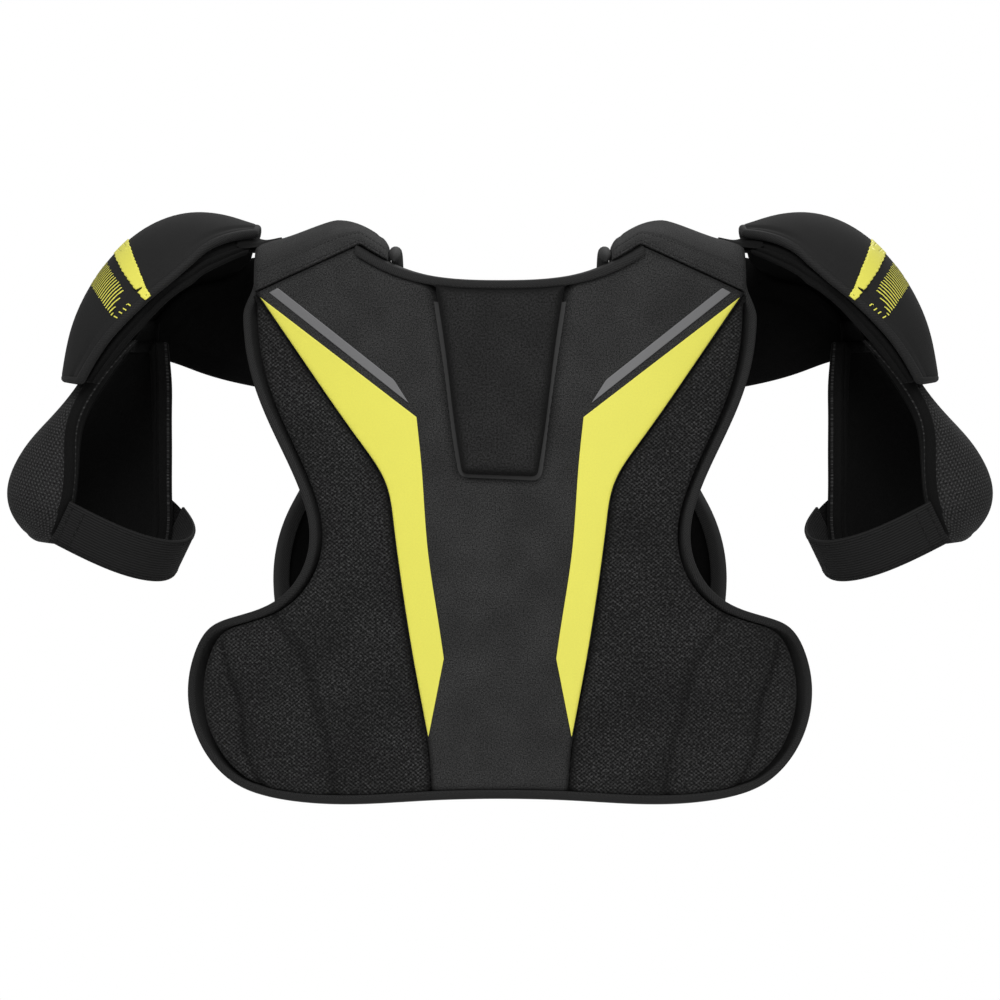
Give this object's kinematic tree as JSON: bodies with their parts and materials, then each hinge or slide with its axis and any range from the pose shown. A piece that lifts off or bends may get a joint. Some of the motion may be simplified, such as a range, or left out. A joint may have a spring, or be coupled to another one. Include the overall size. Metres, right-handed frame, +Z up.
{
  "type": "hockey shoulder pads",
  "caption": "Padded back and chest panels joined by shoulder yokes, with hinged shoulder caps, swinging bicep guards and elastic straps.",
  "frame": {"origin": "middle of the neck opening, level with where the yokes rest on the wearer's shoulders", "axes": "+Z up, +Y the way the wearer faces, +X the wearer's right; the back panel faces -Y"},
  "size_m": [0.7531, 0.2476, 0.4486],
  "materials": {
    "smooth_shell_fabric": "matte tight knit, black",
    "woven_shell_fabric": "coarse woven, black",
    "liner_fabric": "brushed liner, black",
    "edge_tape": "folded edge tape, black",
    "foam": "closed-cell foam, dark grey",
    "hard_insert": "moulded polyethylene, black",
    "yellow_film": "satin printed film, yellow",
    "grey_film": "satin printed film, grey",
    "elastic_webbing": "ribbed elastic webbing, black",
    "hook_and_loop": "hook-and-loop tape, black"
  },
  "bodies": {
    "back": {"back_binding": "edge_tape", "back_centre_panel": "smooth_shell_fabric", "back_foam": "foam", "back_liner": "liner_fabric", "back_wing_left": "woven_shell_fabric", "back_wing_right": "woven_shell_fabric", "clavicle_pad_left": "liner_fabric", "clavicle_pad_right": "liner_fabric", "collar_roll_left": "edge_tape", "collar_roll_right": "edge_tape", "spine_pad": "smooth_shell_fabric", "spine_plate": "hard_insert", "stripe_grey_left": "grey_film", "stripe_grey_right": "grey_film", "stripe_yellow_left": "yellow_film", "stripe_yellow_right": "yellow_film", "wing_loop_patch_left": "hook_and_loop", "wing_loop_patch_right": "hook_and_loop", "yoke_left": "smooth_shell_fabric", "yoke_right": "smooth_shell_fabric"},
    "front": {"belly_pad": "woven_shell_fabric", "chest_binding": "edge_tape", "chest_liner": "liner_fabric", "chest_pad_left": "woven_shell_fabric", "chest_pad_right": "woven_shell_fabric", "front_web_left": "elastic_webbing", "front_web_right": "elastic_webbing", "sternum_pad": "smooth_shell_fabric", "sternum_plate": "hard_insert"},
    "right_cap": {"cap_cover_right": "smooth_shell_fabric", "cap_edge_tape_right": "edge_tape", "cap_hard_shell_right": "hard_insert", "cap_hinge_web_right": "elastic_webbing", "cap_under_layer_right": "smooth_shell_fabric"},
    "left_cap": {"cap_cover_left": "smooth_shell_fabric", "cap_edge_tape_left": "edge_tape", "cap_hard_shell_left": "hard_insert", "cap_hinge_web_left": "elastic_webbing", "cap_under_layer_left": "smooth_shell_fabric"},
    "right_bicep_guard": {"bicep_edge_tape_right": "edge_tape", "bicep_liner_right": "liner_fabric", "bicep_pad_right": "woven_shell_fabric", "bicep_plate_right": "hard_insert", "bicep_web_right": "elastic_webbing"},
    "left_bicep_guard": {"bicep_edge_tape_left": "edge_tape", "bicep_liner_left": "liner_fabric", "bicep_pad_left": "woven_shell_fabric", "bicep_plate_left": "hard_insert", "bicep_web_left": "elastic_webbing"},
    "right_bicep_strap": {"bicep_strap_right": "elastic_webbing", "bicep_strap_tab_right": "hook_and_loop"},
    "left_bicep_strap": {"bicep_strap_left": "elastic_webbing", "bicep_strap_tab_left": "hook_and_loop"},
    "right_torso_strap": {"torso_strap_right": "elastic_webbing", "torso_strap_tab_right": "hook_and_loop"},
    "left_torso_strap": {"torso_strap_left": "elastic_webbing", "torso_strap_tab_left": "hook_and_loop"}
  },
  "joints": [
    {"name": "front_open", "type": "hinge", "parent": "back", "child": "front", "pos_m": [0, 0.07303, -0.0358], "axis": [1, 0, 0], "range_deg": [0, 45]},
    {"name": "right_cap_lift", "type": "hinge", "parent": "back", "child": "right_cap", "pos_m": [0.18668, 0, 0.01164], "axis": [0, -1, 0], "range_deg": [0, 35]},
    {"name": "right_bicep_swing", "type": "hinge", "parent": "right_cap", "child": "right_bicep_guard", "pos_m": [0.32417, 0, -0.098], "axis": [0, -1, 0], "range_deg": [0, 35]},
    {"name": "right_bicep_strap_open", "type": "hinge", "parent": "right_bicep_guard", "child": "right_bicep_strap", "pos_m": [0.334, -0.04915, -0.2035], "axis": [-0.4165, -0.364, 0.8331], "range_deg": [0, 60]},
    {"name": "right_torso_strap_peel", "type": "hinge", "parent": "front", "child": "right_torso_strap", "pos_m": [0.139, 0.07275, -0.322], "axis": [0, 0, -1], "range_deg": [0, 35]},
    {"name": "left_cap_lift", "type": "hinge", "parent": "back", "child": "left_cap", "pos_m": [-0.18668, 0, 0.01164], "axis": [0, 1, 0], "range_deg": [0, 35]},
    {"name": "left_bicep_swing", "type": "hinge", "parent": "left_cap", "child": "left_bicep_guard", "pos_m": [-0.32417, 0, -0.098], "axis": [0, 1, 0], "range_deg": [0, 35]},
    {"name": "left_bicep_strap_open", "type": "hinge", "parent": "left_bicep_guard", "child": "left_bicep_strap", "pos_m": [-0.334, -0.04915, -0.2035], "axis": [-0.4165, 0.364, -0.8331], "range_deg": [0, 60]},
    {"name": "left_torso_strap_peel", "type": "hinge", "parent": "front", "child": "left_torso_strap", "pos_m": [-0.139, 0.07275, -0.322], "axis": [0, 0, 1], "range_deg": [0, 35]}
  ]
}
